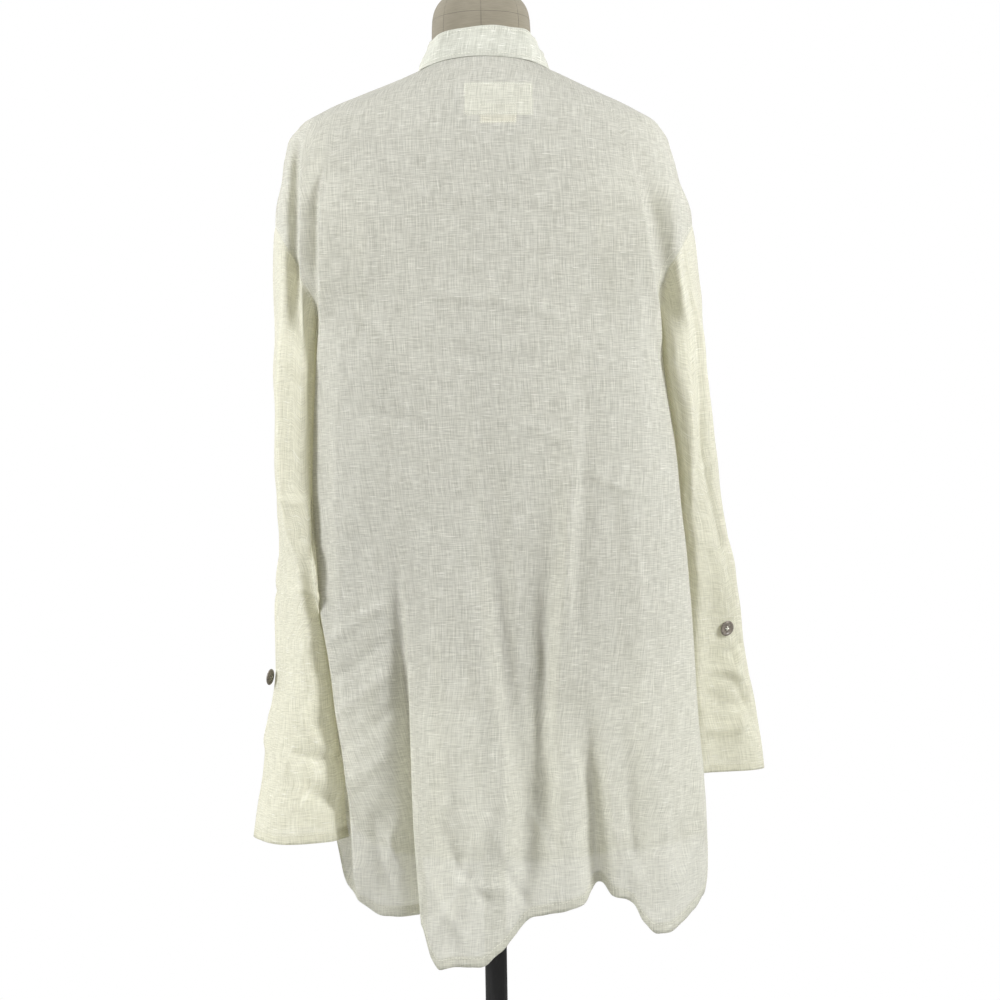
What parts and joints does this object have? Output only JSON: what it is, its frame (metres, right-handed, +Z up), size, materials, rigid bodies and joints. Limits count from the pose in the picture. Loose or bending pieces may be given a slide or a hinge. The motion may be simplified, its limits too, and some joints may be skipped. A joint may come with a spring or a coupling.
{
  "type": "tunic top worn by a limbless dress form on a pole stand",
  "caption": "Sheer long-sleeved tunic top with a band collar, a button on each sleeve and a curved hem, worn by a limbless dress form on a pole and a round base.",
  "frame": {"origin": "centre of the round base's flat underside, on the pole's axis, at floor level", "axes": "+Z up along the pole, -Y towards the garment's front, +X towards its own left side"},
  "size_m": [0.5119, 0.38, 1.41],
  "materials": {
    "linen": "sheer open-weave linen, off-white, slubby",
    "label_cloth": "smooth woven white ribbon, left blank",
    "canvas": "taupe canvas cover, stretched smooth",
    "horn": "grey-brown button with a raised rim and four holes",
    "black_metal": "satin black"
  },
  "bodies": {
    "root": {"back": "linen", "front": "linen", "sleeve_left": "linen", "sleeve_right": "linen", "collar": "linen", "slit_binding": "linen", "neck_label": "label_cloth", "size_tab": "label_cloth", "button_left": "horn", "button_right": "horn", "form_torso": "canvas", "pole": "black_metal", "stand_base": "black_metal"}
  },
  "joints": []
}
